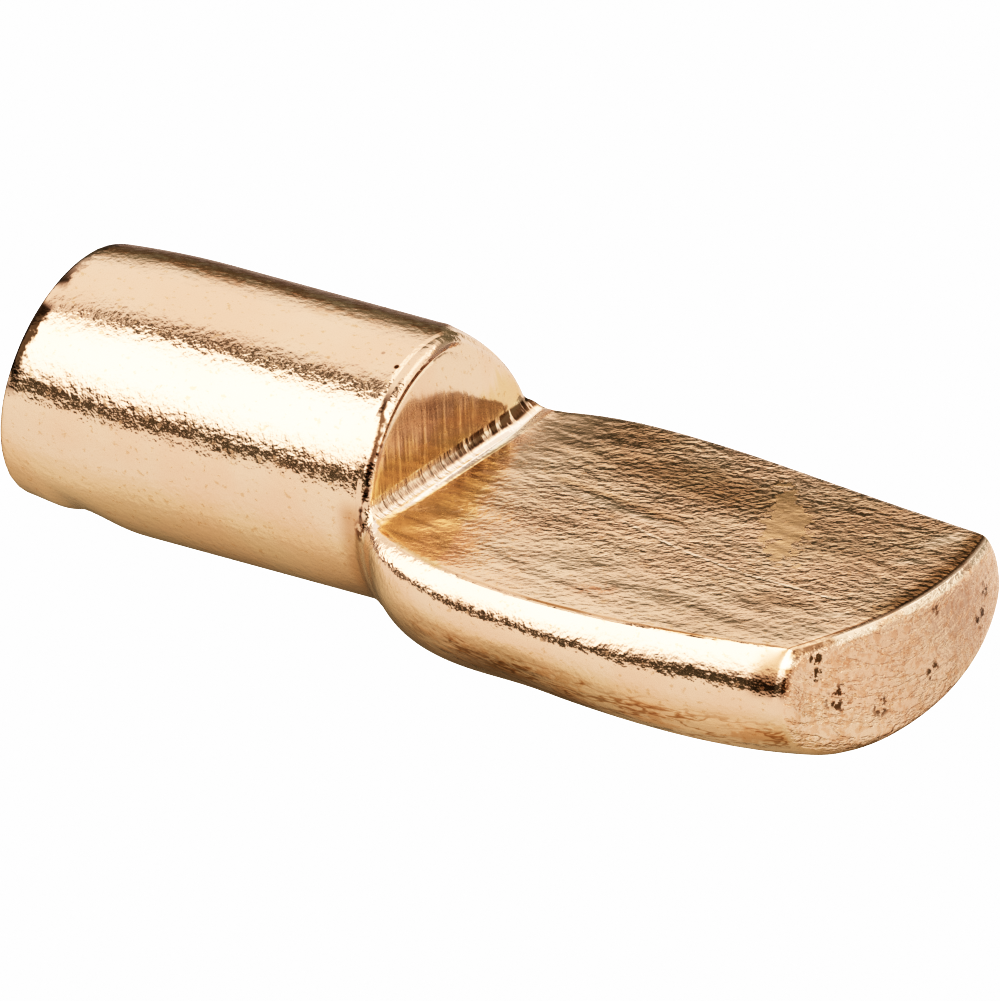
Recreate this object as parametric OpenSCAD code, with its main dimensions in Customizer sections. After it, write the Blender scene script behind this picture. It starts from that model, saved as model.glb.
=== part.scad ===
// Spoon shelf pin: one piece of round wire, cold-formed and plated. The wire is sheared to
// length, and one end is pressed under a flat punch, which leaves a half-round blade with a
// flat shelf face, a square shoulder above it, and sides that swell out where the metal went.
//
// Frame: the pin's axis is X, and x = 0 is where the plain pin ends and the knuckle behind the
// shoulder begins, which is what stops it at the mouth of its hole. The pin runs to -X and the
// blade to +X, and the shelf rests on the face towards +Z.

/* [Pin] */
// Diameter of the pin, a sliding fit in a drilled hole
pin_d = 4.95; // [4.8:0.05:6.2]
// Length of the pin from its stop to the middle of its sheared end
pin_len = 7.2; // [5.5:0.1:11]
// Length over which the pin draws in towards its end
draw_len = 2.6; // [1.5:0.1:3.5]
// How much the end draws in on the radius
draw_in = 0.18; // [0.05:0.01:0.3]
// Rounding of the sheared end's rim
nose_round = 0.43; // [0.2:0.01:0.7]
// Lean of the sheared end off square, in degrees, which makes the top shorter
shear_lean = 8.5; // [0:0.5:12]

/* [Shoulder] */
// How far the shoulder stands out from the pin's stop
shoulder_x = 0.9; // [0.5:0.05:1.5]
// How much the pin flares on the radius from its stop to the shoulder
flare = 0.02; // [0.01:0.01:0.1]
// Radius in the corner between the shoulder and the shelf face
shoulder_fillet = 0.45; // [0.2:0.05:0.8]
// How deep the shoulder's rolled-off corner reaches on the pin's surface
roll_depth = 0.65; // [0.2:0.05:1.2]
// Where round the pin the shoulder's corner is rolled off, in degrees up from +Y
roll_at = 50; // [0:5:90]

/* [Blade] */
// Length of the blade from the shoulder to the middle of its end
blade_len = 10.2; // [8:0.1:14]
// Width of the shelf face where it is widest
face_w = 6.55; // [6.3:0.05:8]
// Width of the shelf face at the end of the blade
face_end_w = 5.25; // [4.4:0.05:6.2]
// Distance from the shoulder to the widest place
widest_at = 4.1; // [3:0.1:6]
// Height of the shelf face above the pin's axis
face_z = 0.17; // [0:0.01:0.5]
// How far the sides swell out past the shelf face, up to the widest place
side_swell = 0.35; // [0.1:0.01:0.6]
// How far they swell out at the end
end_swell = 0.48; // [0.1:0.01:0.6]
// Depth of the fullest line of the sides below the shelf face, at the widest place
swell_depth = 0.58; // [0.4:0.01:1.1]
// How much deeper that line lies at the end
swell_sink = 0.47; // [0:0.01:0.5]
// How far the belly hangs below the underside of the pin
belly_drop = 0.15; // [0:0.01:0.2]
// How far the knuckle behind the shoulder hangs below that again
knuckle_drop = 0.38; // [0:0.02:0.5]
// Length over which the knuckle dies away
knuckle_len = 5; // [4:0.1:6]
// How far the belly rises again to the end
belly_rise = 0.4; // [0:0.01:0.5]
// Squareness of the belly's corners, where 2 is a plain ellipse
belly_square = 1.85; // [1.7:0.05:2.6]
// How much the belly leans towards -Y at the end, for its depth
belly_lean = 0.77; // [0:0.01:0.9]
// Sideways set of the blade towards -Y, left by the press
press_set = 0.39; // [0:0.01:0.6]

/* [Blade end] */
// Rounding between the end and the belly
end_round = 0.28; // [0.2:0.02:0.7]
// Rounding between the end and the sides
end_corner = 0.12; // [0.05:0.01:0.3]
// How far the middle of the end bows out past its corners
end_bow = 0.55; // [0.3:0.05:1]
// Skew of the end, which makes the -Y side shorter, in degrees
end_skew = 4.4; // [0:0.1:8]
// Width of the rolled edge between the shelf face and the end
end_bevel = 0.12; // [0.08:0.02:0.3]

/* [Hidden] */
$fn = 96;

pin_r = pin_d / 2;
brass = "#d9b183";

// The blade's loft starts at the pin's stop, just inside the pin's surface, and swells out of it
root_inset = 0.04 * pin_r;
// Share of the sides' swell, and of its depth, that is there at the root
root_swell = 0.2;
root_depth = 0.8;
spread_len = 0.7 * pin_r;
// How far behind the shoulder the sides begin to swell out, and over what length they do
swell_back = 0.4;
swell_len = 1.5;

// Rings of the loft, and points in each ring
ring_points = 56;
body_rings = 30;
round_rings = 4;
cap_rings = 2;

function clamp01(u) = min(1, max(0, u));
function mix(a, b, u) = a + (b - a) * u;
function rise(u) = 1 - pow(1 - clamp01(u), 3);
function signed_pow(v, e) = sign(v) * pow(abs(v), e);

// The blade's shape is worked out in x from the shoulder

// How far x lies along from the widest place to the end, 0 to 1
function past_widest(x) = clamp01((x - widest_at) / (blade_len - widest_at));

// Half the width of the shelf face
function face_half(x) = x < widest_at
    ? mix(pin_r - root_inset / 2, face_w / 2, rise(x / widest_at)) + 0.2 * min(0, x)
    : mix(face_w / 2, face_end_w / 2, pow(past_widest(x), 1.4));

// How far the sides swell past the shelf face
function swell(x) = mix(side_swell, end_swell, past_widest(x))
    * mix(root_swell, 1, rise((x + swell_back) / swell_len));

// Height of the fullest line of the sides
function swell_z(x) = face_z - swell_depth * mix(root_depth, 1, rise(x / widest_at))
    - swell_sink * clamp01(x / blade_len);

// A hump that is 0 at both ends of its length and 1 a third of the way along
function hump(u) = 6.75 * clamp01(u) * pow(1 - clamp01(u), 2);

// Height of the belly's lowest line
function belly_z(x) = root_inset - pin_r + belly_rise * pow(past_widest(x), 2)
    - (root_inset + belly_drop) * rise((x + shoulder_x) / spread_len)
    - knuckle_drop * hump((x + shoulder_x) / knuckle_len);

// Sideways set of the blade
function set_y(x) = -press_set * sin(180 * clamp01(x / (1.26 * blade_len)));

// Exponent of the section's upper half
upper_square = 2.04;

// Half height of the upper half, so that it passes through the edges of the shelf face
function upper_h(x) = (face_z - swell_z(x))
    / pow(1 - pow(face_half(x) / (face_half(x) + swell(x)), upper_square), 1 / upper_square);

// The section at x. At the end it is drawn in, by an amount that goes from 0 to 1
function section(x, draw) =
    let (wide = face_half(x) + swell(x) - draw * end_corner,
         up = upper_h(x) - draw * end_round,
         down = swell_z(x) - belly_z(x) - draw * end_round,
         late = pow(clamp01(x / blade_len), 2))
    [for (i = [0 : ring_points - 1])
        let (t = 360 * i / ring_points,
             e = sin(t) > 0 ? upper_square : belly_square,
             z = (sin(t) > 0 ? up : down) * signed_pow(sin(t), 2 / e))
        [set_y(x) + wide * signed_pow(cos(t), 2 / e) + late * belly_lean * min(0, z),
         swell_z(x) + z]];

// The end bows out in plan and is skewed, more so the closer a ring lies to it
function end_shift(x, y) = let (off = y - set_y(x), half = face_end_w / 2)
    pow(past_widest(x), 2) * (tan(end_skew) * off - end_bow * pow(off / half, 2));

// A ring of the loft in space: the section at x, shrunk about its middle
function ring(x, draw, shrink) =
    let (middle = [set_y(x), (face_z + belly_z(x)) / 2])
    [for (p = section(x, draw))
        let (q = middle + shrink * (p - middle))
        [x + end_shift(x, q[0]), q[0], q[1]]];

body_end = blade_len - end_round;
blade_rings = concat(
    [for (i = [0 : body_rings]) ring(mix(-shoulder_x, body_end, pow(i / body_rings, 1.35)), 0, 1)],
    [for (i = [1 : round_rings])
        let (a = 90 * i / round_rings)
        ring(body_end + end_round * sin(a), 1 - cos(a), 1)],
    [for (i = [1 : cap_rings]) ring(blade_len, 1, 1 - i / (cap_rings + 1))]);

// A closed skin over a list of rings, each end closed by a fan from its own centre
module loft(rings, start_centre, end_centre) {
    n = len(rings[0]);
    last = len(rings) - 1;
    points = concat([for (r = rings) for (p = r) p], [start_centre, end_centre]);
    start = len(points) - 2;
    faces = concat(
        [for (k = [0 : last - 1]) for (i = [0 : n - 1])
            let (j = (i + 1) % n) each [
                [k * n + i, (k + 1) * n + i, k * n + j],
                [k * n + j, (k + 1) * n + i, (k + 1) * n + j]]],
        [for (i = [0 : n - 1])
            let (j = (i + 1) % n) each [
                [start, i, j],
                [start + 1, last * n + j, last * n + i]]]);
    polyhedron(points, faces);
}

// The pressed end at its full height, before the punch takes its face down, with x = 0 at the
// shoulder. A cone about the middle of the end's bow rolls off its top edge
module blade_stock() {
    bow_r = pow(face_end_w / 2, 2) / (2 * end_bow);
    top_r = bow_r - end_bevel;
    intersection() {
        loft(blade_rings,
            [-shoulder_x, 0, swell_z(-shoulder_x)],
            [blade_len, set_y(blade_len), (face_z + belly_z(blade_len)) / 2]);
        translate([blade_len - bow_r, set_y(blade_len) + bow_r * tan(end_skew), face_z - pin_d])
            cylinder(r1 = top_r + pin_d, r2 = top_r, h = pin_d);
    }
}

// Round wire that draws in towards the sheared end, and flares from the stop to the foot of the
// shoulder's fillet
module wire() {
    foot = shoulder_x + shoulder_fillet;
    end = pin_len + pin_r * sin(shear_lean);
    rotate([0, -90, 0])
        rotate_extrude()
            polygon([
                [0, -foot], [pin_r + flare, -foot], [pin_r, 0], [pin_r, pin_len - draw_len],
                [pin_r - draw_in, pin_len], [pin_r - draw_in, end], [0, end]]);
}

// What the shear leaves of the wire's end: a flat that leans back at the top, with a rounded rim
module nose_form() {
    spread = 9;
    centre = pin_r - nose_round;
    far = pin_len + pin_d;
    translate([nose_round - pin_len, 0, 0])
        rotate([0, 90 + shear_lean, 0])
            translate([0, 0, -nose_round])
                rotate_extrude() {
                    translate([centre, nose_round]) circle(r = nose_round);
                    polygon([
                        [0, 0], [centre, 0],
                        [centre + nose_round * cos(spread), nose_round * (1 - sin(spread))],
                        [centre + far * tan(spread), far], [0, far]]);
                }
}

// What the punch drags off the corner high on one side of the shoulder, with x = 0 at the
// shoulder: all that lies outside a ball
module dragged_corner() {
    back = 1.27 * pin_r;
    ball_r = sqrt(pow(2 * pin_r, 2) + pow(back - roll_depth, 2));
    difference() {
        translate([-back, -pin_d, -pin_d]) cube(2 * pin_d);
        translate([-back, -pin_r * cos(roll_at), -pin_r * sin(roll_at)])
            sphere(r = ball_r, $fn = 180);
    }
}

module pin() {
    difference() {
        intersection() {
            wire();
            nose_form();
        }
        translate([shoulder_x, 0, 0]) dragged_corner();
    }
}

// The flat punch, with x = 0 at the shoulder. Its face leaves the shelf face, its side the
// shoulder, and its rounded edge the fillet between them
module punch() {
    long = blade_len + pin_d;
    translate([0, face_w, face_z])
        rotate([90, 0, 0])
            linear_extrude(2 * face_w) {
                translate([shoulder_fillet, 0]) square([long, pin_d]);
                translate([0, shoulder_fillet]) square([long, pin_d]);
                translate([shoulder_fillet, shoulder_fillet]) circle(r = shoulder_fillet);
            }
}

module shelf_pin() {
    color(brass)
    difference() {
        union() {
            pin();
            translate([shoulder_x, 0, 0]) blade_stock();
        }
        translate([shoulder_x, 0, 0]) punch();
    }
}

shelf_pin();
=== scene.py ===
import math

import bpy
import numpy as np
from mathutils import Matrix


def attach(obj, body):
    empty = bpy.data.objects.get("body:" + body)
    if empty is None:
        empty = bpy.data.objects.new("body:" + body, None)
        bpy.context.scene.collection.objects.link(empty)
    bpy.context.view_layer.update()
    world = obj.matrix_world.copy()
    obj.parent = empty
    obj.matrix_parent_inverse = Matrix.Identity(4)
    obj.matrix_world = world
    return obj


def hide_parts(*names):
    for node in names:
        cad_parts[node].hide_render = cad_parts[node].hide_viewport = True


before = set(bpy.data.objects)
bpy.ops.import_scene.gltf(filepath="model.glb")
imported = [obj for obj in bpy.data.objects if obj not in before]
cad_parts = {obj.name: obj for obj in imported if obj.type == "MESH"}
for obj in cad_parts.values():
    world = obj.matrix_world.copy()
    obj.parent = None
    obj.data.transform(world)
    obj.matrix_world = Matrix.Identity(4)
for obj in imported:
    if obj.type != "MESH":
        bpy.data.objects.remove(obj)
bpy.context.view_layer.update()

# ---------------------------------------------------------------- round pin
# The part of the support that goes into the hole: a length of round steel wire, drawn a little
# thinner towards its end. The shear leaves the end face leaning and the draw rounds its rim.
# Sizes are in mm, and x runs from the mouth of the hole towards the blade.
MM = 0.001
WIRE_R = 2.475
SHOULDER_X = 0.9
PIN_LEN = 7.2
DRAW_LEN = 2.6
DRAW_IN = 0.18
NOSE_ROUND = 0.43
NOSE_FLARE = math.radians(9)
LEAN = math.radians(8.5)
SPARE = 0.9
INTO_BLADE = 0.45
AROUND = np.radians(np.arange(192) * 360 / 192)


def select_only(ob):
    bpy.ops.object.select_all(action="DESELECT")
    ob.select_set(True)
    bpy.context.view_layer.objects.active = ob


def body(name, points, faces):
    """A closed mesh from points in mm, with its faces outward."""
    mesh = bpy.data.meshes.new(name)
    mesh.from_pydata([tuple(c * MM for c in point) for point in points], [], faces)
    ob = bpy.data.objects.new(name, mesh)
    bpy.context.scene.collection.objects.link(ob)
    select_only(ob)
    bpy.ops.object.mode_set(mode="EDIT")
    bpy.ops.mesh.select_all(action="SELECT")
    bpy.ops.mesh.normals_make_consistent(inside=False)
    bpy.ops.object.mode_set(mode="OBJECT")
    return ob


def turned(name, profile):
    """A closed body turned about X from a profile of (x, radius) pairs, in mm."""
    n = len(AROUND)
    points = [(x, r * math.cos(a), r * math.sin(a)) for x, r in profile for a in AROUND]
    last = (len(profile) - 1) * n
    faces = []
    for k in range(0, last, n):
        for i in range(n):
            j = (i + 1) % n
            faces.append((k + i, k + n + i, k + n + j, k + j))
    faces.append(tuple(range(n)))
    faces.append(tuple(last + i for i in reversed(range(n))))
    return body(name, points, faces)


def cut(ob, tool, how):
    """Cut ob by a tool, which is used up."""
    bpy.context.view_layer.objects.active = ob
    knife = ob.modifiers.new("cut", "BOOLEAN")
    knife.operation = how
    knife.object = tool
    knife.solver = "EXACT"
    bpy.ops.object.modifier_apply(modifier="cut")
    bpy.data.objects.remove(tool)


# the wire, with its drawn end; it runs on past the end and into the blade
wire = [(-PIN_LEN - SPARE, WIRE_R - DRAW_IN), (-PIN_LEN, WIRE_R - DRAW_IN)]
for u in np.linspace(0.05, 1, 20):
    drawn = DRAW_IN * (1 - math.sin(u * math.pi / 2) ** 0.9)
    wire.append((-PIN_LEN + DRAW_LEN * u, WIRE_R - drawn))
wire += [(0, WIRE_R), (SHOULDER_X + INTO_BLADE, WIRE_R + 0.02)]
pin = turned("wire", wire)

# the sheared end: a flat with a round rim that opens out into a cone, leaning back at its top
rim_centre = WIRE_R - NOSE_ROUND
far = PIN_LEN + 5
shear = [(-NOSE_ROUND, rim_centre * 0.5), (-NOSE_ROUND, rim_centre)]
for a in np.linspace(math.radians(88), NOSE_FLARE, 16):
    shear.append((NOSE_ROUND * (1 - math.sin(a)) - NOSE_ROUND, rim_centre + NOSE_ROUND * math.cos(a)))
cone_r = rim_centre + NOSE_ROUND * math.cos(NOSE_FLARE) + (far - NOSE_ROUND) * math.tan(NOSE_FLARE)
shear.append((far - NOSE_ROUND, cone_r))
nose = turned("nose", shear)
for vertex in nose.data.vertices:
    x, y, z = vertex.co
    leaning_x = x * math.cos(LEAN) + z * math.sin(LEAN)
    leaning_z = -x * math.sin(LEAN) + z * math.cos(LEAN)
    vertex.co = (leaning_x + (NOSE_ROUND - PIN_LEN) * MM, y, leaning_z)
cut(pin, nose, "INTERSECT")

# ---------------------------------------------------------------- blade
# The tongue that the shelf rests on, squeezed out of the same wire. The metal swells past the
# flat at both sides, the belly sags at the root, and the end is cut a little skew and bowed.
BLADE_LEN = 10.2
WIDEST_X = 4.1
FLAT_W = 6.55
FLAT_END_W = 5.25
FLAT_Z = 0.17
ROOT_INSET = 0.04 * WIRE_R
TAPER_POWER = 1.4
SIDE_SWELL = 0.35
END_SWELL = 0.48
ROOT_SWELL_SHARE = 0.2
SWELL_DEPTH = 0.58
SWELL_SINK = 0.47
BELLY_DROP = 0.15
BELLY_LIFT = 0.40
ROOT_SAG = 0.38
SAG_LEN = 5.0
SIDE_SET = 0.39
SET_LEN = 1.26 * BLADE_LEN
END_TUCK = 0.77
TUCK_DEPTH = 1.3
END_SKEW = math.tan(math.radians(4.4))
END_BOW_NEAR = 0.50
END_BOW_FAR = 0.55
END_ROUND = 0.28
END_ROUND_SIDE = 0.24
TOP_POWER = 2.04
BELLY_POWER = 1.85
SECTIONS = 130
AROUND_BLADE = 176


def share(u):
    return min(1.0, max(0.0, u))


def mix(a, b, u):
    return a + (b - a) * u


def rise(u):
    """From 0 to 1, fast at first."""
    return 1 - (1 - share(u)) ** 3


def late(x):
    """How far x is along the way from the blade's widest place to its end, from 0 to 1."""
    return share((x - WIDEST_X) / (BLADE_LEN - WIDEST_X))


def flat_half(x):
    """Half the width of the flat."""
    if x < WIDEST_X:
        return mix(WIRE_R - ROOT_INSET / 2, FLAT_W / 2, rise(x / WIDEST_X)) + 0.2 * min(0, x)
    return mix(FLAT_W / 2, FLAT_END_W / 2, late(x) ** TAPER_POWER)


def swell(x):
    """How far the side stands out past the flat."""
    return mix(SIDE_SWELL, END_SWELL, late(x)) * mix(ROOT_SWELL_SHARE, 1, rise((x + 0.4) / 1.5))


def swell_z(x):
    """The height at which the side stands out most."""
    sunk = SWELL_DEPTH * mix(0.8, 1, rise(x / WIDEST_X))
    return FLAT_Z - sunk - SWELL_SINK * share(x / BLADE_LEN)


def belly_z(x):
    """The height of the underside. The sag's factor makes its greatest value ROOT_SAG."""
    u = share((x + SHOULDER_X) / SAG_LEN)
    sag = ROOT_SAG * 6.75 * u * (1 - u) ** 2
    drop = (ROOT_INSET + BELLY_DROP) * rise((x + SHOULDER_X) / (0.7 * WIRE_R))
    return ROOT_INSET - WIRE_R + BELLY_LIFT * late(x) ** 2 - drop - sag


def set_y(x):
    """The sideways set of the blade's middle."""
    return -SIDE_SET * math.sin(math.pi * share(x / SET_LEN))


def section(x, draw, shrink):
    """The blade's outline at x, drawn in at its end's round and shrunk to close the end."""
    wide = flat_half(x) + swell(x) - draw * END_ROUND_SIDE
    mid_z, low_z, mid_y = swell_z(x), belly_z(x), set_y(x)
    flat_share = flat_half(x) / (flat_half(x) + swell(x))
    up = (FLAT_Z - mid_z) / (1 - flat_share ** TOP_POWER) ** (1 / TOP_POWER) - draw * END_ROUND
    down = mid_z - low_z - draw * END_ROUND
    outline = []
    for i in range(AROUND_BLADE):
        a = 2 * math.pi * i / AROUND_BLADE
        s, c = math.sin(a), math.cos(a)
        e = 2 / TOP_POWER if s > 0 else 2 / BELLY_POWER
        z = (up if s > 0 else down) * math.copysign(abs(s) ** e, s)
        tuck = share(x / BLADE_LEN) ** 2 * END_TUCK * min(0, z) * share(-z / TUCK_DEPTH)
        y = mid_y + wide * math.copysign(abs(c) ** e, c) + tuck
        y = mid_y + shrink * (y - mid_y)
        z = (FLAT_Z + low_z) / 2 + shrink * (z + mid_z - (FLAT_Z + low_z) / 2)
        off = max(y - mid_y, -FLAT_END_W / 2)
        bow = END_BOW_NEAR if off < 0 else END_BOW_FAR
        shift = late(x) ** 2 * (END_SKEW * off - bow * (off / (FLAT_END_W / 2)) ** 2)
        outline.append((SHOULDER_X + x + shift, y, z))
    return outline


# a loft of sections, because the swell, the sag and the set change all the way along
body_end = BLADE_LEN - END_ROUND
rings = []
for i in range(SECTIONS + 1):
    rings.append(section(mix(-SHOULDER_X, body_end, (i / SECTIONS) ** 1.2), 0, 1))
for a in np.radians(np.linspace(0, 90, 15)[1:]):
    rings.append(section(body_end + END_ROUND * math.sin(a), 1 - math.cos(a), 1))
rings += [section(BLADE_LEN, 1, 1 - i / 10) for i in range(1, 10)]
n = AROUND_BLADE
faces = []
for k in range(0, (len(rings) - 1) * n, n):
    for i in range(n):
        j = (i + 1) % n
        faces.append((k + i, k + j, k + n + j, k + n + i))
faces.append(tuple(reversed(range(n))))
faces.append(tuple((len(rings) - 1) * n + i for i in range(n)))
blade = body("blade", [point for ring in rings for point in ring], faces)

# ---------------------------------------------------------------- pressing
# Pin and blade are one piece of steel, pressed cold. The punch leaves the flat, the shoulder's
# wall and the fillet between them, and drags the rims over; tumbling softens every edge.
FILLET = 0.27
FILLET_FAR = 0.26
PUNCH_LEN = 12
PUNCH_HALF = 6
VOXEL = 0.054 * MM
RIM_R = 0.17
RIM_PROUD = 0.014
DRAG_TURN = math.radians(50)
DRAG_FROM = 1.2
DRAG_DEPTH = 0.92
DRAG_POWER = 2.3
END_RIM_R = 0.24
SHEAR_STEP = 0.12
MOST_TRIANGLES = 196000


def fuse(ob):
    """Make the body one even skin."""
    skin = ob.modifiers.new("fuse", "REMESH")
    skin.mode = "VOXEL"
    skin.voxel_size = VOXEL
    skin.adaptivity = 0
    bpy.ops.object.modifier_apply(modifier="fuse")


def smooth(v):
    v = np.clip(v, 0, 1)
    return v * v * (3 - 2 * v)


def drag(points):
    """How far the wall's far top corner is dragged back at each point, and how steeply."""
    across = points[:, 1] * math.cos(DRAG_TURN) + points[:, 2] * math.sin(DRAG_TURN)
    width = WIRE_R + 0.04 - DRAG_FROM
    v = np.clip((across - DRAG_FROM) / width, 0, 0.985)
    left = 1 - v ** DRAG_POWER
    slope = DRAG_DEPTH / width * v ** (DRAG_POWER - 1) * left ** (1 / DRAG_POWER - 1)
    return -DRAG_DEPTH * (1 - left ** (1 / DRAG_POWER)), slope


def onto_round(a, b, radius, where):
    """Moves along a and b that bring points near the corner of two faces onto a round, where
    a and b are their depths behind the faces."""
    d = np.hypot(radius - a, radius - b)
    push = np.where(where & (a < radius) & (b < radius), np.maximum(d - radius, 0), 0)
    d = np.maximum(d, 1e-6)
    return push * (radius - a) / d, push * (radius - b) / d


select_only(blade)
pin.select_set(True)
bpy.context.view_layer.objects.active = pin
bpy.ops.object.join()
pin = bpy.context.object
pin.name = "pressed_pin"

corner = [(FILLET + PUNCH_LEN, PUNCH_HALF), (0, PUNCH_HALF)]
for a in np.radians(np.linspace(0, 90, 24)):
    corner.append((FILLET - FILLET * math.cos(a), FLAT_Z + FILLET - FILLET * math.sin(a)))
corner.append((FILLET + PUNCH_LEN, FLAT_Z))
m = len(corner)
faces = [(i, (i + 1) % m, m + (i + 1) % m, m + i) for i in range(m)]
faces += [tuple(range(m)), tuple(m + i for i in reversed(range(m)))]
sides = (-PUNCH_HALF, PUNCH_HALF)
punch = body("punch", [(SHOULDER_X + x, y, z) for y in sides for x, z in corner], faces)

select_only(pin)
fuse(pin)
cut(pin, punch, "DIFFERENCE")
fuse(pin)

co = np.empty(len(pin.data.vertices) * 3)
pin.data.vertices.foreach_get("co", co)
co = co.reshape(-1, 3) / MM

# the fillet is wider at the far side
a = co[:, 0] - SHOULDER_X
b = co[:, 2] - FLAT_Z
radius = FILLET + FILLET_FAR * smooth((co[:, 1] - 1.3) / 1.2)
move_x, move_z = onto_round(a, b, radius, (a > -0.03) & (b > -0.03))
co[:, 0] += move_x
co[:, 2] += move_z

# the wall's far top corner is dragged back, and its rim is rolled over
back, _ = drag(co)
behind_wall = smooth((co[:, 0] - SHOULDER_X + 1.5) / 1.5)
ahead_of_wall = smooth((SHOULDER_X + 0.3 - co[:, 0]) / 0.3)
pulled = np.where(co[:, 0] < SHOULDER_X, behind_wall, ahead_of_wall)
co[:, 0] += back * pulled * smooth((co[:, 2] - FLAT_Z + 0.3) / 0.3)
back, slope = drag(co)
radial = np.hypot(co[:, 1], co[:, 2])
a = (SHOULDER_X + back - co[:, 0]) / np.sqrt(1 + slope ** 2)
b = WIRE_R + RIM_PROUD - radial
above = co[:, 2] - FLAT_Z - 0.02
move_x, move_r = onto_round(a, b, RIM_R, (above > 0) & (a > -0.1) & (b > -0.1))
fade = np.clip(above / 0.15, 0, 1)
co[:, 0] -= move_x * fade
co[:, 1] -= move_r * fade * co[:, 1] / radial
co[:, 2] -= move_r * fade * co[:, 2] / radial

# so is the top edge of the blade's end
off = np.maximum(co[:, 1] - set_y(BLADE_LEN), -FLAT_END_W / 2)
bow = np.where(off < 0, END_BOW_NEAR, END_BOW_FAR)
end_x = SHOULDER_X + BLADE_LEN + END_SKEW * off - bow * (off / (FLAT_END_W / 2)) ** 2
slope = END_SKEW - 2 * bow * off / (FLAT_END_W / 2) ** 2
square = np.sqrt(1 + slope ** 2)
a = (end_x - co[:, 0]) / square
b = FLAT_Z - co[:, 2]
move_out, move_z = onto_round(a, b, END_RIM_R, co[:, 0] > SHOULDER_X + 8)
co[:, 0] -= move_out / square
co[:, 1] += move_out * slope / square
co[:, 2] -= move_z

# the shear lifts a step from the underside of the pin's end
along = smooth((co[:, 0] + 6.65) / 0.5) * smooth((-4.9 - co[:, 0]) / 1.1)
co[:, 2] += SHEAR_STEP * along * smooth((-0.9 - co[:, 2]) / 0.8)
pin.data.vertices.foreach_set("co", (co * MM).ravel())
pin.data.update()

tumble = pin.modifiers.new("tumble", "SMOOTH")
tumble.factor = 0.5
tumble.iterations = 8
bpy.ops.object.modifier_apply(modifier="tumble")
triangles = 2 * len(pin.data.polygons)
if triangles > MOST_TRIANGLES:
    thin = pin.modifiers.new("thin", "DECIMATE")
    thin.ratio = MOST_TRIANGLES / triangles
    bpy.ops.object.modifier_apply(modifier="thin")
bpy.ops.object.shade_smooth()

# ---------------------------------------------------------------- plating
# A thin, bright plate of rosy brass over the whole support. It is put on in a barrel with
# hundreds of others, so it carries fine grain, soft lumps and a few dull specks all over.
PLATE = (0.90, 0.70, 0.57)
PLATE_YELLOWER = (0.90, 0.73, 0.60)
SPECK = (0.70, 0.50, 0.32)
LUMP_DEPTH = 0.016
GRAIN_DEPTH = 0.0135


class Field:
    """A value that changes over a surface. Arithmetic on fields adds math nodes."""

    def __init__(self, tree, socket):
        self.tree = tree
        self.socket = socket

    def __add__(self, other):
        return maths("ADD", self, other)

    def __radd__(self, other):
        return maths("ADD", other, self)

    def __sub__(self, other):
        return maths("SUBTRACT", self, other)

    def __rsub__(self, other):
        return maths("SUBTRACT", other, self)

    def __mul__(self, other):
        return maths("MULTIPLY", self, other)

    def __truediv__(self, other):
        return maths("DIVIDE", self, other)

    def __pow__(self, other):
        return maths("POWER", self, other)

    def __abs__(self):
        return maths("ABSOLUTE", self)

    def step(self, low, high, a=0.0, b=1.0):
        """A smooth step, from a where the value is low to b where it is high."""
        values = (self, low, high, a, b)
        return node(self.tree, "MapRange", values, interpolation_type="SMOOTHSTEP")


def node(tree, kind, inputs=(), out=0, **props):
    """One output of a new shader node. Fields among its inputs are linked, other values are
    set, and None is left as it is."""
    made = tree.nodes.new("ShaderNode" + kind)
    for name, value in props.items():
        setattr(made, name, value)
    for k, value in enumerate(inputs):
        if isinstance(value, Field):
            tree.links.new(value.socket, made.inputs[k])
        elif value is not None:
            made.inputs[k].default_value = value
    return Field(tree, made.outputs[out])


def tree_of(*values):
    return next(value.tree for value in values if isinstance(value, Field))


def maths(op, *inputs):
    return node(tree_of(*inputs), "Math", inputs, operation=op)


def most(first, *others):
    """The greatest of some values."""
    for other in others:
        first = maths("MAXIMUM", first, other)
    return first


def split(vector):
    """The x, y and z of a vector."""
    parts = node(vector.tree, "SeparateXYZ", (vector,)).socket.node
    return [Field(vector.tree, part) for part in parts.outputs]


def placed(at, origin, turn=0.0, size=(1, 1, 1)):
    """Places measured from origin, turned about Z, with size as the unit of each axis."""
    return node(at.tree, "Mapping", (at, origin, (0, 0, turn), size), vector_type="TEXTURE")


def length(vector):
    return node(vector.tree, "VectorMath", (vector,), "Value", operation="LENGTH")


def noise(at, scale, detail=2.0, rough=0.5, stretch=(1, 1, 1), twist=0.0, shift=(0, 0, 0)):
    """Noise about 0, drawn out by stretch along axes turned by twist about Z."""
    drawn_out = placed(at, shift, twist, stretch)
    return node(at.tree, "TexNoise", (drawn_out, None, scale, detail, rough)) - 0.5


def laid(under, share, over, how="MIX"):
    """The colour under, with the colour over laid on it by share."""
    tree = tree_of(under, share, over)
    colours = [value if isinstance(value, Field) else (*value, 1) for value in (under, over)]
    inputs = (share, None, None, None, None, None, *colours)
    return node(tree, "Mix", inputs, 2, data_type="RGBA", blend_type=how)


def dirtied(under, share, over):
    """The colour under, darkened by multiplying it with the colour over by share."""
    return laid(under, share, over, "MULTIPLY")


plate = bpy.data.materials.new("plated_metal")
plate.use_nodes = True
nt = plate.node_tree
metal = nt.nodes["Principled BSDF"]
metal.inputs["Metallic"].default_value = 1.0

# places in mm, with reach measured from the shoulder, and the way that the surface faces
metres = node(nt, "TexCoord", out="Object")
place = node(nt, "VectorMath", (metres, (1 / MM, 1 / MM, 1 / MM)), operation="MULTIPLY")
px, py, pz = split(place)
nx, _, nz = split(node(nt, "TexCoord", out="Normal"))
reach = px - SHOULDER_X


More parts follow.
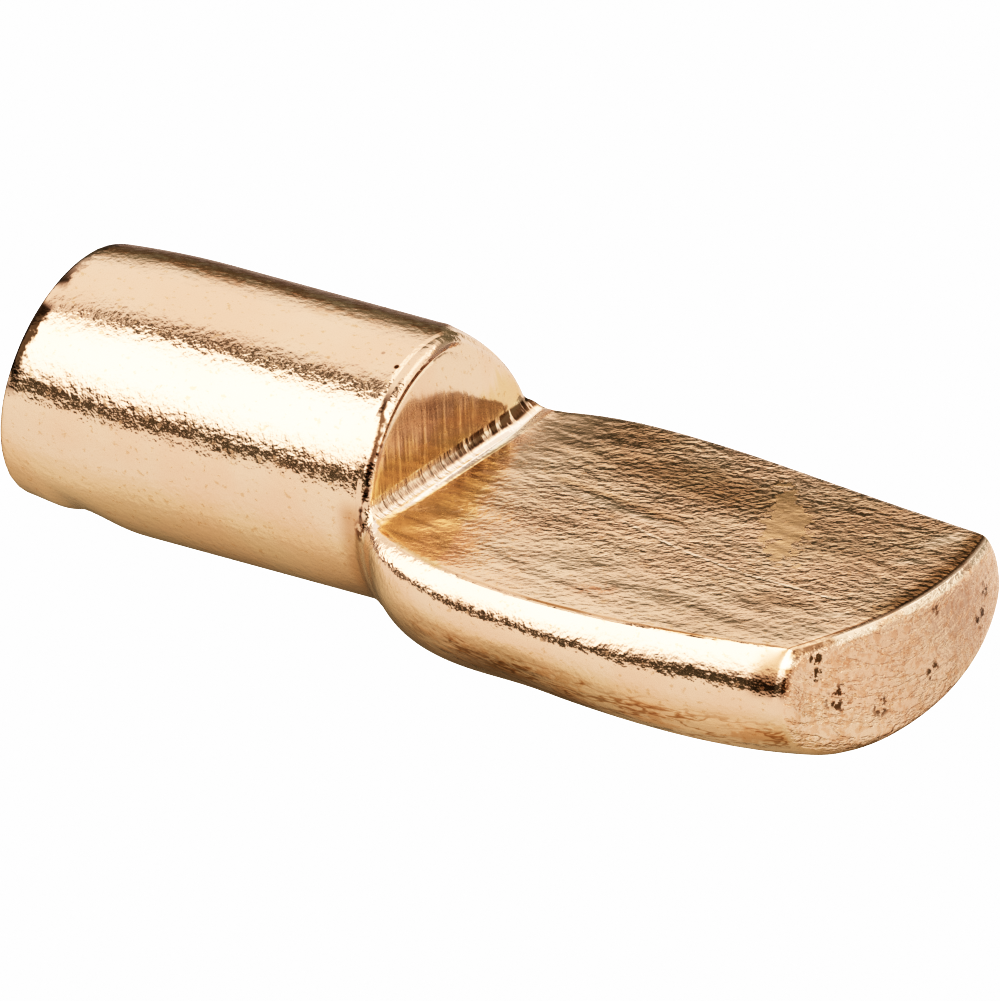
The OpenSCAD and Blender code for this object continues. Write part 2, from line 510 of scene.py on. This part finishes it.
def spot(x, y, z, wide, high=None, turn=0.0, soft=0.5):
    """A soft patch round a place measured from the shoulder, in mm."""
    high = high or wide
    from_middle = placed(place, (SHOULDER_X + x, y, z), turn, (wide, high, high))
    return length(from_middle).step(1.0, 1.0 - soft)


# the faces that the press leaves
on_flat = reach.step(0.22, 0.40) * pz.step(FLAT_Z - 0.05, FLAT_Z - 0.01)
on_wall = nx.step(0.8, 0.95) * pz.step(FLAT_Z + 0.24, FLAT_Z + 0.32) * reach.step(1.5, 1.4)
on_fillet = reach.step(0.26, 0.20) * nx.step(0.2, 0.3)
on_fillet = on_fillet * pz.step(FLAT_Z + 0.32, FLAT_Z + 0.27) * pz.step(FLAT_Z - 0.02, FLAT_Z + 0.02)
on_end = reach.step(8, 9) * nx.step(0.6, 0.8)
elsewhere = 1.0 - most(on_flat, on_fillet, on_wall, on_end)

grain = noise(place, 6.8, 2, 0.6)
lumps = noise(place, 1.1, 1, 0.4, stretch=(1.7, 1, 1), shift=(3, 7, 1))
pits = noise(place, 7.0, 3, 0.65, shift=(5, 5, 1))
wrinkles = noise(place, 2.6, 3, 0.6, stretch=(3.5, 1, 1), shift=(7, 3, 1))
streaks = noise(place, 2.2, 2, 0.5, stretch=(7, 1, 1), twist=-0.14, shift=(1, 4, 2))
tone = noise(place, 0.7, 2, 0.5, shift=(6, 3, 9))
specks = noise(place, 9.0, 3, 0.6, stretch=(1.3, 1, 1), shift=(8, 8, 8)).step(0.11, 0.17)

# Relief in mm and colour are built up place by place from here on. A step says between which
# places, or which tilts of the surface, a mark comes in or goes out.
relief = lumps * LUMP_DEPTH + grain * GRAIN_DEPTH * elsewhere * nx.step(-0.95, -0.8, 0.4, 1.0)
colour = laid(PLATE, tone.step(-0.12, 0.12), PLATE_YELLOWER)
colour = laid(colour, specks * 0.5, SPECK)

# ---------------------------------------------------------------- finish of the pin
# The plated wire keeps the marks of its making: a brown stain along its far side. A dark line is
# painted round the rim of its end, a dark reflection is painted in the groove, and painted shade
# lies in the crease where the blade begins.
FAR_STAIN = (0.70, 0.58, 0.48)
END_RIM_DARK = (0.05, 0.048, 0.03)
GROOVE_DARK_REFLECTION = (0.10, 0.08, 0.055)
CREASE_SHADE = (0.58, 0.44, 0.30)
KNOT_SHADE = (0.22, 0.16, 0.10)
PIT = (0.14, 0.09, 0.05)
GROOVE_SLOPE = -0.25

stained = (py + wrinkles).step(-0.1, 0.4) * pz.step(1.5, 2.1)
stained = stained * reach.step(0.0, -0.1) * nx.step(0.4, 0.2)
patchy = (grain + wrinkles * 0.8).step(-0.18, 0.14)
colour = dirtied(colour, stained * patchy, FAR_STAIN)

# a dark line is painted round the rim, following the leaning end and thinning out towards its top
from_end = (px + (PIN_LEN - NOSE_ROUND)) * math.cos(LEAN) - pz * math.sin(LEAN)
from_end = from_end + pits * 0.5 - spot(-7.7, -1.4, 2.05, 0.5, 0.42, soft=0.9) * 0.16
dark_rim = nx.step(-0.93, -0.82) * from_end.step(-0.06, -0.20) * pz.step(0.45, 0.9)
dark_rim = dark_rim * pz.step(2.36, 2.2, 0.55, 1.0) * lumps.step(0.16, 0.06)
colour = dirtied(colour, dark_rim * 0.93, END_RIM_DARK)

# a narrow groove runs round behind the shoulder's rim, with a dark reflection painted along it
ridge = maths("MINIMUM", px - (SHOULDER_X - 0.40), 0.2)
ridge = maths("PINGPONG", most(ridge, 0.0), 0.1)
relief = relief + ridge * GROOVE_SLOPE * pz.step(FLAT_Z - 0.3, FLAT_Z + 0.1)
rim_x = reach + (pz.step(1.5, 2.05, 0.10, 0.24) + pz.step(0.7, 0.2, 0.0, 0.09))
groove_edge = abs(rim_x) + (grain * 0.16 + pz.step(1.2, 0.8, 0.0, 0.035))
groove_reflection = groove_edge.step(0.085, 0.03) * pz.step(0.0, 0.2) * pz.step(2.2, 1.9) * py.step(-0.6, -1.0)
colour = dirtied(colour, groove_reflection * 0.9, GROOVE_DARK_REFLECTION)
# painted shade darkens the crease where the blade begins, with a darker spot of it at its near foot
crease = reach.step(-0.80, -0.42) * reach.step(-0.12, -0.30) * py.step(-1.3, -2.0) * pz.step(0.5, 0.1)
colour = dirtied(colour, crease * 0.5, CREASE_SHADE)
knot = spot(-0.14, -2.45, -0.1, 0.24, 0.30, soft=0.6) * grain.step(0.06, -0.02)
colour = dirtied(colour, knot * 0.85, KNOT_SHADE)

# two small pits on top
colour = laid(colour, spot(-0.43, -0.87, 2.32, 0.065), PIT)
colour = laid(colour, spot(-0.87, -0.65, 2.39, 0.05) * 0.4, PIT)

# ---------------------------------------------------------------- finish of the shoulder
# The wall, the fillet and the strip of flat beside them, which the punch rubs hardest. The
# wall is ribbed and leans back, and the plate by the fillet is rubbed down to a bronze colour.
BRONZE = (0.98, 1.0, 0.88)
FILLET_FOOT = (1.0, 0.91, 0.83)
FILLET_DARK_REFLECTION = (0.16, 0.14, 0.10)
WALL_FOOT_REFLECTION = (0.94, 0.92, 0.80)
RIB_DEPTH = 0.008
TOOTH_DEPTH = 0.070
WALL_LEAN = -0.055

ribs = noise(place, 7.0, 1, 0.5, stretch=(3.3, 1, 8), shift=(4, 1, 8))
teeth = noise(place, 7.5, 3, 0.6, stretch=(6, 1, 6), shift=(2, 6, 3))
relief = relief + ribs * RIB_DEPTH * on_wall
relief = relief + teeth * TOOTH_DEPTH * (on_fillet * py.step(1.2, -1.5, 0.12, 0.8))
upper = most(pz - (0.7 + py.step(0.6, -1.6, 0.0, 0.16)), 0.0)
relief = relief + upper ** 2.0 * WALL_LEAN * on_wall

rubbed_edge = reach + py * 0.33 + streaks * 0.8
rubbed = on_flat * rubbed_edge.step(1.02, 0.86) * py.step(1.3, 1.0)
colour = dirtied(colour, rubbed * 0.95, BRONZE)
foot = reach.step(0.10, 0.16) * reach.step(0.36, 0.28)
foot = foot * pz.step(FLAT_Z + 0.12, FLAT_Z + 0.05) * pz.step(FLAT_Z - 0.2, FLAT_Z - 0.1)
colour = laid(colour, foot * 0.8, FILLET_FOOT)

# the far half of the fillet is painted dark over its teeth, a painted reflection of a dark strip
fillet_reflection = on_fillet * pz.step(FLAT_Z + 0.06, FLAT_Z + 0.10) * reach.step(0.16, 0.11)
fillet_reflection = fillet_reflection * teeth.step(0.09, 0.03) * (py + teeth * 5.0).step(-1.2, 0.6)
colour = dirtied(colour, fillet_reflection * 0.9, FILLET_DARK_REFLECTION)
# the wall's lower part is tinted darker and yellower up to a wavy line, a painted reflection of the flat
colour = dirtied(colour, on_wall * (pz + ribs).step(1.25, 0.9), WALL_FOOT_REFLECTION)

# ---------------------------------------------------------------- finish of the flat
# The face under the shelf, wrinkled where the punch squeezed the metal outwards. It has a
# shallow groove with a pale band, one long scratch, and a bare bronze patch without wrinkles.
FLAT_SHADE = (0.92, 0.90, 0.88)
SHADED = (0.66, 0.63, 0.55)
END_SHADE = (0.58, 0.54, 0.45)
GROOVE = (0.70, 0.66, 0.56)
PALE_BAND = (0.97, 0.80, 0.68)
SCRATCH = (1.0, 0.86, 0.74)
BARE = (1.0, 0.72, 0.50)
SMEAR_HIGHLIGHT = (1.0, 0.82, 0.69)
BLOTCH = (0.76, 0.58, 0.48)
NEAR_EDGE_REFLECTION = (0.42, 0.32, 0.20)
FAR_EDGE_HIGHLIGHT = (1.0, 0.84, 0.74)
FAR_EDGE_REFLECTION = (0.30, 0.24, 0.18)
SPARKLE = (0.98, 0.86, 0.74)
CREASE_DEPTH = 0.055
RIPPLE_DEPTH = -0.055
STREAK_DEPTH = 0.035
WAVE_DEPTH = 0.12
SCRATCH_DEPTH = -0.008
SCRATCH_W = 0.055
FLAT_GROOVE_DEPTH = -0.012
CROWN = -0.0115


def line(start, end, wide):
    """A straight line on the flat between two places from the shoulder, fading at its ends."""
    run_x, run_y = end[0] - start[0], end[1] - start[1]
    long = math.hypot(run_x, run_y)
    from_start = placed(place, (SHOULDER_X + start[0], start[1], 0), math.atan2(run_y, run_x))
    along, aside, _ = split(from_start)
    ends = along.step(0.0, 0.5) * along.step(long, long - 0.5)
    return abs(aside).step(wide, 0.0) * (ends * on_flat)


creases = noise(place, 7.6, 2, 0.6, stretch=(1.45, 0.95, 1), twist=0.5, shift=(9, 2, 5))
crossed = noise(place, 7.2, 2, 0.6, stretch=(1.45, 0.95, 1), twist=1.0, shift=(1, 6, 4))
veer = noise(place, 0.9, 1, 0.5, shift=(5, 5, 8)).step(-0.08, 0.08)
creases = node(nt, "MapRange", (veer, 0.0, 1.0, creases, crossed))
ripples = abs(noise(place, 4.2, 2, 0.5, stretch=(1.7, 0.8, 1), twist=0.2, shift=(2, 2, 5)))
waves = noise(place, 0.75, 2, 0.5, stretch=(1.6, 1, 1), twist=-0.1, shift=(4, 9, 2))
ragged = noise(place, 3.2, 4, 0.6, stretch=(1, 1, 9), shift=(7, 7, 2))

scratch = line((3.68, -0.276), (5.6, -0.815), SCRATCH_W)
scratch = most(scratch, line((5.2, -0.72), (7.1, -1.0), SCRATCH_W))
scratch = most(scratch, line((6.6, -0.965), (9.2, -1.0), SCRATCH_W))
groove = line((1.6, 0.52), (5.0, 0.10), 0.15)
pale_band = line((1.8, 0.24), (5.2, -0.20), 0.22)
bare_spot = spot(6.5, 0.9, FLAT_Z, 2.2, 0.60, -0.953, 0.9)
bare = (bare_spot + ragged * 3.2).step(0.34, 0.50) * bare_spot.step(0.02, 0.14) * on_flat
smear_highlights = most(
    spot(9.2, 1.85, FLAT_Z, 0.75, 0.32, 1.18, 0.9),
    spot(9.15, 0.86, FLAT_Z, 0.6, 0.2, 0.5, 0.8) * 0.7,
    spot(9.24, -1.49, FLAT_Z, 0.5, 0.22, 0.5, 0.8) * 0.7,
    spot(0.87, 0.09, FLAT_Z, 0.36, 0.14, 0.4, 0.6) * 0.9,
)

# the relief is calmer by the shoulder, along the near edge, on the bare patch and on the marks
calm = reach.step(0.8, 2.8, 0.25, 1.0) * (py + streaks * 2.0).step(-2.1, -1.1, 0.45, 1.0)
calm = calm * bare.step(0.0, 1.0, 1.0, 0.12) * most(pale_band, smear_highlights).step(0.0, 1.0, 1.0, 0.4)
wrinkled = on_flat * calm
unbared = on_flat * bare.step(0.0, 1.0, 1.0, 0.3)
relief = relief + creases * CREASE_DEPTH * wrinkled + ripples * RIPPLE_DEPTH * wrinkled
relief = relief + streaks * STREAK_DEPTH * unbared + waves * WAVE_DEPTH * unbared
relief = relief + scratch * SCRATCH_DEPTH + groove * FLAT_GROOVE_DEPTH

# and the whole flat is a little crowned across
relief = relief + (py + 3.6) ** 2.0 * CROWN * on_flat

# painted shade darkens it away from the shoulder and from its near edge, with more painted shade in a
# patch along its far half and another by its end
flat_shade = on_flat * reach.step(0.8, 2.5) * py.step(-2.4, -1.0, 0.2, 1.0)
colour = dirtied(colour, flat_shade, FLAT_SHADE)
across = py - set_y(BLADE_LEN)
mean_bow = (END_BOW_NEAR + END_BOW_FAR) / 2 / (FLAT_END_W / 2) ** 2
end_gap = (BLADE_LEN - reach) + across * END_SKEW - across * across * mean_bow
by_end = (end_gap + creases * 0.5).step(0.62, 0.25) * py.step(-1.6, -0.4)
shade = most(
    spot(4.4, 1.6, FLAT_Z, 3.7, 0.95, -0.06, 0.8),
    spot(2.4, 2.5, FLAT_Z, 1.6, 0.7, soft=0.8) * 0.8,
    spot(8.0, -1.5, FLAT_Z, 1.0, 0.40, 0.2, 0.8) * 0.5,
    reach.step(5.5, 7.5) * py.step(-0.4, 0.8) * 0.4,
    by_end,
)
shade = maths("MINIMUM", shade + waves * 0.8, 1.0) * on_flat
colour = dirtied(colour, most(shade, 0.0), SHADED)
colour = dirtied(colour, by_end * on_flat * 0.8, END_SHADE)

colour = dirtied(colour, groove * 0.6, GROOVE)
colour = laid(colour, pale_band * 0.6, PALE_BAND)
colour = laid(colour, scratch * ripples.step(0.0, 0.12, 0.5, 1.0), SCRATCH)
colour = laid(colour, bare * grain.step(-0.2, 0.1, 0.6, 0.9), BARE)
# the smears are smooth, and are painted pale as a painted highlight
colour = laid(colour, smear_highlights * on_flat, SMEAR_HIGHLIGHT)
blotch = spot(5.0, -2.75, FLAT_Z, 0.62, 0.30, 0.5, 0.8) * on_flat * pits.step(-0.05, 0.06)
colour = dirtied(colour, blotch * 0.8, BLOTCH)
sparkle = spot(1.2, -1.3, FLAT_Z, 0.5, 0.4) * pits.step(0.07, 0.12)
colour = laid(colour, sparkle, SPARKLE)

# a broken brown line, a painted reflection, follows its near edge's rounding, and its far edge's
# rounding carries a pale painted highlight with a dark painted reflection at its limit
near_edge = nz.step(0.99, 0.96) * nz.step(0.80, 0.88) * pz.step(FLAT_Z - 0.14, FLAT_Z - 0.08)
near_edge = near_edge * reach.step(0.3, 0.6) * (streaks + lumps).step(-0.12, 0.16, 0.25, 0.85)
colour = dirtied(colour, near_edge * py.step(0.5, 0.0), NEAR_EDGE_REFLECTION)
far_edge = py.step(0.8, 1.2) * pz.step(FLAT_Z - 0.1, FLAT_Z - 0.06)
far_edge = far_edge * reach.step(0.8, 1.2) * reach.step(9.6, 9.2)
colour = laid(colour, far_edge * nz.step(0.9995, 0.9975) * 0.7, FAR_EDGE_HIGHLIGHT)
colour = dirtied(colour, far_edge * nz.step(0.975, 0.95) * 0.8, FAR_EDGE_REFLECTION)

# ---------------------------------------------------------------- finish of the blade's sides
# Low on the sides the squeezed metal folds over itself in long wrinkles, and the plate on them
# is worn to a brown metal.
FOLD = (0.58, 0.48, 0.36)
WORN = (0.84, 0.73, 0.62)
WRINKLE_DEPTH = 0.05

low_side = reach.step(0.5, 2.5) * nz.step(-0.15, -0.45) * nx.step(0.6, 0.4)
folds = abs(noise(place, 2.4, 3, 0.7, stretch=(4.0, 1, 1), shift=(2, 8, 5)))
relief = relief + wrinkles * WRINKLE_DEPTH * low_side
colour = dirtied(colour, low_side * folds.step(0.04, 0.005) * lumps.step(-0.10, 0.04) * 0.9, FOLD)
colour = dirtied(colour, low_side * (wrinkles + grain * 0.5).step(-0.05, 0.13) * 0.8, WORN)

# ---------------------------------------------------------------- finish of the blade's end
# The end is sheared off after pressing, so its face is torn, mottled and pitted. Its top edge is
# rolled, with a painted highlight along it, and a dark patch is painted down its near corner.
MOTTLE = (0.92, 0.85, 0.80)
TEAR = (0.80, 0.68, 0.57)
HOLE = (0.17, 0.17, 0.12)
CORNER_DARK = (0.26, 0.20, 0.12)
CORNER_DIRT = (0.16, 0.16, 0.10)
ROLLED_HIGHLIGHT = (1.0, 0.87, 0.74)
GREY = (0.72, 0.78, 0.80)
PIT_DEPTH = 0.030
END_GRAIN_DEPTH = 0.016
TEAR_DEPTH = -0.010

# the tears run round with the end's outline
round_end = length(placed(place, (0, -0.3, 1.4), size=(1e6, 1.25, 1.0)))
round_at = node(nt, "CombineXYZ", (round_end * 2.4, py * 0.7, pz * 0.7))
tears = abs(noise(round_at, 1.6, 4, 0.62, shift=(3, 1, 4)))
relief = relief + pits * PIT_DEPTH * on_end + grain * END_GRAIN_DEPTH * on_end
relief = relief + tears.step(0.06, 0.0) * TEAR_DEPTH * on_end
colour = dirtied(colour, on_end * (grain + pits).step(-0.02, 0.14), MOTTLE)
colour = dirtied(colour, on_end * tears.step(0.03, 0.0) * lumps.step(-0.08, 0.05) * 0.6, TEAR)

holes = most(
    spot(9.74, -2.2, -1.0, 0.42, 0.34),
    spot(10.0, -1.33, -1.47, 0.4, 0.26) * 0.8,
    spot(10.2, -0.03, -1.3, 0.3, 0.22),
    spot(10.05, 1.62, -1.0, 0.4, 0.28),
    spot(10.2, 0.12, -0.2, 0.3, 0.16) * 0.8,
    spot(9.95, 1.9, -0.55, 0.4, 0.24),
)
colour = dirtied(colour, holes * pits.step(-0.01, 0.07) * 0.9, HOLE)

# a dark patch is painted down the near corner's rounding, with a thin dark line where the rounding
# starts
near_corner = reach.step(8.6, 9.0) * py.step(-1.6, -2.0) * pz.step(-0.75, -0.45)
corner_dark = near_corner * nx.step(0.42, 0.56) * nx.step(0.90, 0.76) * grain.step(0.2, -0.02, 0.4, 1.0)
corner_line = near_corner * nx.step(0.17, 0.22) * nx.step(0.30, 0.25) * 0.8
colour = dirtied(colour, most(corner_dark, corner_line) * 0.85, CORNER_DARK)
dirt = most(
    spot(9.55, -2.60, -0.10, 0.5, 0.20, soft=0.9),
    spot(9.55, -2.60, -0.42, 0.5, 0.22, soft=0.9),
)
dirt = (dirt * pits.step(-0.12, 0.02)).step(0.22, 0.5)
colour = dirtied(colour, dirt * 0.9, CORNER_DIRT)
# a painted highlight along the rolled top edge of the end
rolled_highlight = reach.step(8.6, 9.0) * nz.step(0.22, 0.42) * nz.step(0.96, 0.86) * nx.step(0.2, 0.35)
rolled_highlight = rolled_highlight * pz.step(FLAT_Z - 0.35, FLAT_Z - 0.25) * lumps.step(-0.10, 0.04, 0.1, 0.85)
colour = laid(colour, rolled_highlight, ROLLED_HIGHLIGHT)
colour = laid(colour, spot(9.2, -2.35, -1.15, 0.16) * 0.7, GREY)

# ---------------------------------------------------------------- whole metal
# Relief, colour and gloss come together on the one skin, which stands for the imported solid.
# The flat and the end are a little duller than the tumbled rest, and the specks duller still.
GLOSS = 0.13
PRESSED_DULLER = 0.06
SPECK_DULLER = 0.15

bump = node(nt, "Bump").socket.node
bump.inputs["Distance"].default_value = MM
bump.inputs["Strength"].default_value = 1.0
nt.links.new(relief.socket, bump.inputs["Height"])
nt.links.new(bump.outputs[0], metal.inputs["Normal"])
rough = GLOSS + (most(on_flat, on_end) * PRESSED_DULLER + specks * SPECK_DULLER)
nt.links.new(rough.socket, metal.inputs["Roughness"])
nt.links.new(colour.socket, metal.inputs["Base Color"])
pin.data.materials.clear()
pin.data.materials.append(plate)
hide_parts("shelf_pin")
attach(pin, "root")

# ---------------------------------------------------------------- floor
# A sheet of pale paper under the support. To the camera it is plain white, and to the metal it
# glows with the painted tones of a lit sheet: a painted shadow, darkest under the support and
# brighter further out.
FLOOR_SIZE = 0.4
FLOOR_X = 0.002
FLOOR_Z = -3.05 * MM
CAMERA_WHITE = 1.2
OPEN_GREY = 0.44
WARM_SHADE = (1.0, 0.83, 0.60)
WARM_PAPER = (1.0, 0.87, 0.80)
PAPER_TONES = [
    (-0.02, 0.45), (-0.006, 0.42), (-0.0036, 0.37), (-0.003, 0.31), (-0.0024, 0.28),
    (-0.0019, 0.25), (-0.0013, 0.20), (-0.0007, 0.14), (0, 0.11), (0.003, 0.11),
    (0.006, 0.2), (0.010, 0.26), (0.015, 0.22), (0.027, 0.16), (0.07, 0.11),
]
AHEAD_TONES = [
    (-0.006, 0.42), (0.0, 0.40), (0.0012, 0.355), (0.0027, 0.410),
    (0.0036, 0.35), (0.0045, 0.275), (0.008, 0.26),
]


def grey(level):
    return (level, level, level)


def tones(value, stops, low, high):
    """Grey tones over a value, from stops of (value, tone) between low and high."""
    spread = node(value.tree, "MapRange", (value, low, high, 0.0, 1.0))
    greys = node(value.tree, "ValToRGB", (spread,))
    marks = greys.socket.node.color_ramp.elements
    while len(marks) > 1:
        marks.remove(marks[0])
    marks[0].position = (stops[0][0] - low) / (high - low)
    marks[0].color = (*grey(stops[0][1]), 1)
    for stop, level in stops[1:]:
        marks.new((stop - low) / (high - low)).color = (*grey(level), 1)
    return greys


def seen_white(kind, colour, strength, output):
    """The metal sees the colour, and the camera sees plain white."""
    tree = colour.tree
    is_camera = node(tree, "LightPath", out="Is Camera Ray")
    white = node(tree, kind, ((1, 1, 1, 1), CAMERA_WHITE))
    either = node(tree, "MixShader", (is_camera, node(tree, kind, (colour, strength)), white))
    tree.links.new(either.socket, output.inputs[0])


bpy.ops.mesh.primitive_plane_add(size=FLOOR_SIZE, location=(FLOOR_X, 0, FLOOR_Z))
floor = bpy.context.object
floor.name = "floor"
paper = bpy.data.materials.new("paper")
paper.use_nodes = True
nt = paper.node_tree
nt.nodes.remove(nt.nodes["Principled BSDF"])
fx, fy, _ = split(node(nt, "NewGeometry", out="Position"))

# under the blade the shade reaches further out, and under the pin's end a little less far
out_y = fy - fx.step(-0.0060, -0.0078, 0.0, 0.0006)
out_y = out_y + (fx.step(-0.002, 0.001, 0.0, 0.0014) + fx.step(0.001, 0.003, 0.0, 0.0012)
                 - fx.step(0.003, 0.008, 0.0, 0.0018))
lit = tones(out_y, PAPER_TONES, -0.02, 0.08)
aslant = fx / most(fy, 0.001)
open_side = aslant.step(-0.62, -0.44) * fy.step(0.010, 0.016)
beyond = fx.step(0.002, 0.006) * fy.step(0.002, 0.004)
lit = laid(lit, most(open_side, beyond), grey(OPEN_GREY))
ahead = fx.step(0.0108, 0.0118)
lit = laid(lit, ahead * fy.step(0.010, 0.007), tones(fy, AHEAD_TONES, -0.01, 0.01))
clear = most(abs(out_y).step(0.0005, 0.0065), most(beyond, ahead))
warmth = laid(WARM_SHADE, clear, WARM_PAPER)
seen_white("Emission", laid(lit, 1.0, warmth, "MULTIPLY"), 1.0, nt.nodes["Material Output"])
floor.data.materials.append(paper)

# ---------------------------------------------------------------- light
# A soft, warm tent round the support, with its brightest sheet in front. The metal mirrors it
# as broad pale bands, which follow the height over the horizon, with dark gaps between them.
SKY_TONES = [
    (-180, 0.11), (-170, 0.11), (-5, 0.30), (0, 0.12), (4, 0.06), (9, 0.06), (12, 0.38),
    (20, 0.85), (32, 1.0), (62, 1.0), (72, 0.8), (76, 0.4), (79, 0.05), (83, 0.06),
    (87, 0.30), (92, 0.43), (98, 0.485), (140, 0.485), (152, 0.42), (158, 0.25),
    (166, 0.13), (180, 0.115),
]
GLARE_GREY = 0.75
LOW_FAR_GREY = 0.29
FADED_GREY = 0.5
DIMMED_TO_BLADE = 0.32
WARM_SKY = (1.0, 0.87, 0.80)
WARM_HORIZON = (1.0, 0.95, 0.87)
WARM_GAP = (1.0, 0.95, 0.74)

world = bpy.data.worlds.new("studio")
bpy.context.scene.world = world
world.use_nodes = True
nt = world.node_tree
nt.nodes.remove(nt.nodes["Background"])
dx, dy, dz = split(node(nt, "TexCoord", out="Generated"))

# degrees over the near horizon: 90 is overhead, and 180 is the far horizon
angle = maths("DEGREES", maths("ARCTAN2", dz, dy * -1.0))
to_blade = angle.step(92.0, 100.0) * dx.step(-0.05, 0.40)

# the band over the near horizon is broader, apart from where the pin's side mirrors it
squeeze = dx.step(-0.5, -0.3, 0.0, 0.32) + dx.step(-0.56, -0.62, 0.0, 0.25)
squeeze = squeeze * (angle.step(60.0, 20.0) * angle.step(-1.0, 0.0))
angle = angle * (1.0 - squeeze)
sky = tones(angle, SKY_TONES, -180, 180)

glare = dx.step(0.57, 0.62) * dy.step(0.3, 0.5)
overhead = dx.step(-0.35, -0.1) * (angle.step(80.0, 86.0) * angle.step(132.0, 124.0))
glare = most(glare, overhead)
sky = laid(sky, glare, grey(GLARE_GREY))
low_far = dx.step(0.0, 0.25) * angle.step(148.0, 156.0)
sky = laid(sky, low_far * glare.step(0.5, 0.0), grey(LOW_FAR_GREY))
strip_light = dx.step(0.02, 0.14) * dx.step(0.49, 0.41)
strip_light = strip_light * (angle.step(126.0, 133.0) * angle.step(145.0, 140.0))
sky = laid(sky, strip_light, grey(1.0))
faded = dx.step(-0.58, -0.66) * (angle.step(70.0, 75.0) * angle.step(95.0, 90.0))
sky = laid(sky, faded * 0.7, grey(FADED_GREY))

warmth = laid(WARM_SKY, abs(angle).step(140.0, 170.0), WARM_HORIZON)
warmth = laid(warmth, sky.step(0.30, 0.08), WARM_GAP)
strength = dx.step(-0.995, -0.97, 0.25, 1.0) * (1.0 - to_blade * DIMMED_TO_BLADE)
tent = laid(sky, 1.0, warmth, "MULTIPLY")
seen_white("Background", tent, strength, nt.nodes["World Output"])

# ---------------------------------------------------------------- camera
# A very long lens, so that the view is parallel, turned to show the flat, the shoulder's wall
# and the blade's end together. The wire's radius and the shoulder set its scale and place.
FRAME_W = 1000
FRAME_H = 1001
AZIMUTH = math.radians(36.71)
ELEVATION = math.radians(26.34)
ROLL = math.radians(-3.03)
RADIUS_PX = 142.32
SHOULDER_PX = (452.1, 472.5)
DISTANCE = 120

level = np.array([math.cos(AZIMUTH), math.sin(AZIMUTH), 0])
tilted = math.sin(ELEVATION)
upright = np.array([-math.sin(AZIMUTH) * tilted, math.cos(AZIMUTH) * tilted, math.cos(ELEVATION)])
away = np.cross(level, upright)
right = math.cos(ROLL) * level + math.sin(ROLL) * upright
up = -math.sin(ROLL) * level + math.cos(ROLL) * upright
px_per_mm = RADIUS_PX / WIRE_R
stand = np.array([SHOULDER_X, 0, 0]) + DISTANCE * away
stand = stand + (FRAME_W / 2 - SHOULDER_PX[0]) / px_per_mm * right
stand = stand - (FRAME_H / 2 - SHOULDER_PX[1]) / px_per_mm * up
lens = bpy.data.cameras.new("camera")
lens.type = "ORTHO"
lens.ortho_scale = FRAME_H / px_per_mm * MM
lens.clip_start = 0.01
camera = bpy.data.objects.new("camera", lens)
bpy.context.scene.collection.objects.link(camera)
rows = [(right[i], up[i], away[i], stand[i] * MM) for i in range(3)]
camera.matrix_world = Matrix(rows + [(0, 0, 0, 1)])
bpy.context.scene.camera = camera

# ---------------------------------------------------------------- tone
# The finished view has the contrast of print: dark tones are pressed down, and the light ones
# run up to paper white.
PAPER_WHITE = 1.12
HALF_TONE = 0.25
CONTRAST = 2.35

view = bpy.context.scene.view_settings
view.view_transform = "Standard"
view.use_curve_mapping = True
curve = view.curve_mapping.curves[3]
curve.points[0].location = (0, 0)
curve.points[1].location = (1, 1)
for x in [0.03, 0.06, 0.09, 0.13, 0.18, 0.23, 0.3, 0.4, 0.55, 0.75]:
    curve.points.new(x, min(1.0, PAPER_WHITE / (1 + (HALF_TONE / x) ** CONTRAST)))
view.curve_mapping.update()
